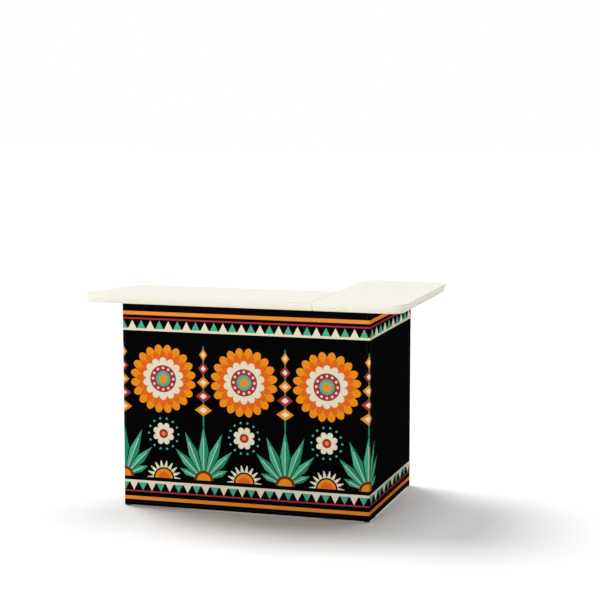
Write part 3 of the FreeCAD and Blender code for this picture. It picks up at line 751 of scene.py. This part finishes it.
# Dahlias, a small flower and a half sun below each, in the middle of the repeat
DAHLIA_Z = 0.645
FLOWER_Z = 0.372
across = nearest_of(u, REPEAT, REPEAT / 2, FRONT_REPEATS - 1)
radius, angle = polar(across, v - DAHLIA_Z)
layers += [
    (petals(radius, angle, 20, 0.170, 0.132), ORANGE),
    (petals(radius, angle, 20, 0.139, 0.104, math.pi / 2), DEEP_ORANGE),
    (petals(radius, angle, 14, 0.106, 0.080), CREAM),
    (0.067 - radius, CRIMSON),
    (dots(radius, angle, 12, 0.053, 0.0062), CREAM),
    (0.037 - radius, TEAL),
    (petals(radius, angle, 8, 0.024, 0.013), ORANGE),
]
radius, angle = polar(across, v - FLOWER_Z)
layers += [
    (petals(radius, angle, 8, 0.056, 0.034), CREAM),
    (0.023 - radius, CRIMSON),
    (0.010 - radius, ORANGE),
    (dots(radius, angle, 14, 0.077, 0.0055), TEAL),
]
radius, angle = polar(across, up)
ray = size_of(repeated(angle, math.pi / 9, 0.0)) * radius
rays = both(between(radius, 0.054, 0.088), (0.100 - radius) * 0.2 - ray)
layers += [
    (both(0.046 - radius, up), ORANGE),
    (both(0.030 - radius, up), DEEP_ORANGE),
    (both(rays, up), CREAM),
]

colour = mixed(noise(flat, 7, 3.0), GROUND, GROUND_PALE)
for depth, paint in layers:
    inside = {0: depth, 1: SHARP, 2: 0.5}
    covered = depth.node("ShaderNodeMath", {"operation": "MULTIPLY_ADD", "use_clamp": True}, inside)
    colour = mixed(covered, colour, paint)

# The colour is darker between the threads, a painted shade of the weave, and the ink has faded a little here
# and there
THREAD_PITCH = 2.6 * MM


def plain_weave(u, v):
    # From -1 between the threads to 1 on top of them
    turn = 2 * math.pi / THREAD_PITCH
    return (u * turn).math("SINE") * (v * turn).math("SINE")


weave = plain_weave(u, v)
fading = noise(flat, 3, 5.0, 0.6)
colour = mixed(fading * 0.08, colour, FADED)
# Painted shade: darker between the threads of the weave
colour = mixed(0.045 - 0.045 * weave, colour, GROUND)
feed(colour, shader, "Base Color")
feed(0.52 + 0.12 * fading + 0.05 * weave, shader, "Roughness")
grain(weave, shader, 0.00015, 0.5)

# The back of the cloth is unprinted
BACK_DARK = ink(17, 17, 18)
BACK_PALE = ink(40, 39, 39)
cloth_back, shade, shader = new_material("cover_back", Sheen_Weight=0.15)
flat = shade.node("ShaderNodeUVMap", {"uv_map": "print"})
weave = plain_weave(part_of(flat, 0), part_of(flat, 1))
cloud = noise(flat, 12, 4.0, 0.6)
# Painted shade of the weave: darker between the threads and lighter on them, with a random cloud
feed(mixed(0.3 + 0.3 * weave + 0.4 * cloud, BACK_DARK, BACK_PALE), shader, "Base Color")
feed(0.7 + 0.2 * cloud, shader, "Roughness")
grain(weave, shader, 0.0002, 0.5)

# The panels: the front takes in both corner folds, and each end panel turns round its far post
front_path = (fold(x_left + FOLD_R, y_front + FOLD_R, 180, 270)
              + straight(x_left + FOLD_R, y_front, x_right - FOLD_R, y_front, FRONT_PITCH)
              + fold(x_right - FOLD_R, y_front + FOLD_R, 270, 360))
front_run = walked(front_path)[1][-1]
front_ends = (quarter, 1.256)
front_cloth = cloth_panel("cover_front_cloth", front_path, -quarter / 2, front_ends)

right_path = (straight(x_right, y_front + FOLD_R + SEAM, x_right, right_high.y - FOLD_R, END_PITCH)
              + fold(x_right - FOLD_R, right_high.y - FOLD_R, 0, 90)
              + straight(x_right - FOLD_R, right_high.y, right_low.x, right_high.y, END_PITCH))
right_run = walked(right_path)[1][-1]
right_ends = (60 * MM, right_high.y - y_front - 30 * MM)
right_start = front_run - quarter / 2 + SEAM
right_cloth = cloth_panel("cover_right_cloth", right_path, right_start, right_ends)

left_path = (straight(left_high.x, left_high.y, x_left + FOLD_R, left_high.y, END_PITCH)
             + fold(x_left + FOLD_R, left_high.y - FOLD_R, 90, 180)
             + straight(x_left, left_high.y - FOLD_R, x_left, y_front + FOLD_R + SEAM, END_PITCH))
left_run = walked(left_path)[1][-1]
left_ends = (30 * MM, left_run - 40 * MM)
left_start = -quarter / 2 - SEAM - left_run
left_cloth = cloth_panel("cover_left_cloth", left_path, left_start, left_ends)


# Stitching
# Black lockstitch in polyester thread along the hems and down the corner seams, about 4 mm to a stitch.
# It is sewn through the cover, so it is handled like its panel.
STITCH = 3.2 * MM
STITCH_PITCH = 4.3 * MM
THREAD_R = 0.45 * MM
STITCH_TAPER = 0.35
HEM_ROW = 15 * MM
END_ROW = 14 * MM
CORNER_ROW = 19 * MM
THREAD_BLACK = ink(18, 18, 19)
THREAD_PALE = ink(52, 51, 50)
thread, shade, shader = new_material("stitching_thread", Sheen_Weight=0.2)
place = shade.node("ShaderNodeTexCoord", out="Object")
twist = noise(place, 900, 2.0)
feed(mixed(twist, THREAD_BLACK, THREAD_PALE), shader, "Base Color")
feed(0.45 + 0.2 * twist, shader, "Roughness")
grain(twist, shader, 0.0001, 0.3)
bpy.ops.object.select_all(action="DESELECT")
bpy.ops.mesh.primitive_cylinder_add(vertices=6, radius=THREAD_R, depth=STITCH)
stitch = bpy.context.object
bpy.ops.object.mode_set(mode="EDIT")
pick(stitch, "edges", lambda middle: abs(middle.z) < STITCH / 4)
bpy.ops.mesh.subdivide(number_cuts=2)
pick(stitch, "vertices", lambda middle: abs(middle.z) > STITCH * 0.4)
bpy.ops.transform.resize(value=(STITCH_TAPER, STITCH_TAPER, 1), center_override=(0, 0, 0))
bpy.ops.object.mode_set(mode="OBJECT")
only(stitch)
bpy.ops.object.shade_smooth()
stitch.data.materials.append(thread)


def stitch_row(start, end):
    # One straight row of stitches between two points
    run = Vector(end) - Vector(start)
    row = stitch.copy()
    row.data = stitch.data.copy()
    bpy.context.scene.collection.objects.link(row)
    row.data.transform(run.to_track_quat("Z", "Y").to_matrix().to_4x4())
    way = run.normalized() * STITCH_PITCH
    count = int(run.length / STITCH_PITCH)
    apply_modifier(row, "ARRAY", count=count, use_relative_offset=False, use_constant_offset=True,
                   constant_offset_displace=way)
    row.data.transform(Matrix.Translation(Vector(start) + way / 2))
    return row


def stitched(cloth, name, spot, first, last, bend, bodies):
    # Rows along both hems between two uprights, and up the uprights. spot(place, z) is a point of the panel.
    # A panel with no bend rides on the first body; one with a bend keeps its place and rides on neither.
    low = z_low + HEM_ROW
    high = z_high - HEM_ROW
    rows = [stitch_row(spot(first, z), spot(last, z)) for z in (low, high)]
    rows += [stitch_row(spot(place, low), spot(place, high)) for place in (first, last)]
    only(*rows)
    bpy.ops.object.join()
    seam = rows[0]
    seam.name = name
    seam.data.name = name
    for piece in (cloth, seam):
        if bend is None:
            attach(piece, bodies[0])
        else:
            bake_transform(piece)
    return seam


# Spans of twice this length across the pin of each end frame, given as each end panel's bend. Nothing here
# makes the panels bend.
LEFT_BEND = 24 * MM
RIGHT_BEND = 48 * MM
BEND_Z = 0.5
left_bend = ((x_left, left_low.y - LEFT_BEND, BEND_Z), (x_left, left_low.y + LEFT_BEND, BEND_Z))
right_bend = ((x_right, right_low.y - RIGHT_BEND, BEND_Z), (x_right, right_low.y + RIGHT_BEND, BEND_Z))
front_seam = stitched(front_cloth, "cover_front_stitching", lambda x, z: (x, y_front, z),
                      x_left + END_ROW, x_right - END_ROW, None, ["front_frame"])
right_seam = stitched(right_cloth, "cover_right_stitching", lambda y, z: (x_right, y, z),
                      y_front + CORNER_ROW, right_high.y - END_ROW, right_bend,
                      ["front_frame", "right_frame"])
left_seam = stitched(left_cloth, "cover_left_stitching", lambda y, z: (x_left, y, z),
                     y_front + CORNER_ROW, left_high.y - END_ROW, left_bend,
                     ["front_frame", "left_frame"])
bpy.data.objects.remove(stitch)

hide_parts("cover_front")
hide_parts("cover_right")
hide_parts("cover_left")


# Floor, light and camera
# A pale studio floor under a soft sky, with a broad light from above on the left, a softer one overhead and
# a low one from the front left. The camera stands where the photograph was taken from.
FLOOR_PALE = ink(252, 252, 252)
FLOOR_WHITE = ink(255, 255, 255)
FLOOR_DROP = 0.5 * MM
floor_paint, shade, shader = new_material("studio_floor", Specular_IOR_Level=0.1, Roughness=0.9)
place = shade.node("ShaderNodeTexCoord", out="Object")
feed(mixed(noise(place, 2, 3.0), FLOOR_PALE, FLOOR_WHITE), shader, "Base Color")
bpy.ops.object.select_all(action="DESELECT")
bpy.ops.mesh.primitive_plane_add(size=80, location=(0, 0, -FLOOR_DROP))
bpy.ops.object.transform_apply(location=True)
floor = bpy.context.object
floor.name = "studio_floor"
floor.data.materials.append(floor_paint)

WHITE = (1, 1, 1, 1)
world = bpy.data.worlds.new("studio_sky")
world.use_nodes = True
bpy.context.scene.world = world
sky = Shade(world.node_tree)
seen = sky.node("ShaderNodeLightPath", out="Is Camera Ray")
lit = sky.node("ShaderNodeBackground", {}, {"Color": WHITE, "Strength": 0.24})
backdrop = sky.node("ShaderNodeBackground", {}, {"Color": WHITE, "Strength": 1.0})
mix = sky.node("ShaderNodeMixShader", {}, {0: seen, 1: lit, 2: backdrop})
feed(mix, world.node_tree.nodes["World Output"], "Surface")


def sun(name, strength, softness, towards):
    light = bpy.data.lights.new(name, "SUN")
    light.energy = strength
    light.angle = math.radians(softness)
    lamp = bpy.data.objects.new(name, light)
    lamp.rotation_euler = Vector(towards).to_track_quat("-Z", "Y").to_euler()
    bpy.context.scene.collection.objects.link(lamp)


sun("overhead_left", 2.01, 32, (0.62, -0.32, -1.0))
sun("overhead", 1.04, 34, (-0.12, -0.32, -1.0))
sun("front_light", 1.00, 14, (0.35, 1.0, -0.14))

# The camera's lens, place, tilt and turn come from a fit to the outline in the photograph
TILT_DOWN = 7.190
TURN_LEFT = 16.852
camera = bpy.data.cameras.new("photo_camera")
camera.lens = 109.19
camera.sensor_width = 36
camera.clip_end = 200
viewer = bpy.data.objects.new("photo_camera", camera)
viewer.location = (2.7530, -8.5656, 2.1413)
viewer.rotation_euler = Euler((math.radians(90 - TILT_DOWN), 0, math.radians(TURN_LEFT)))
bpy.context.scene.collection.objects.link(viewer)
bpy.context.scene.camera = viewer
bpy.context.scene.view_settings.view_transform = "Standard"
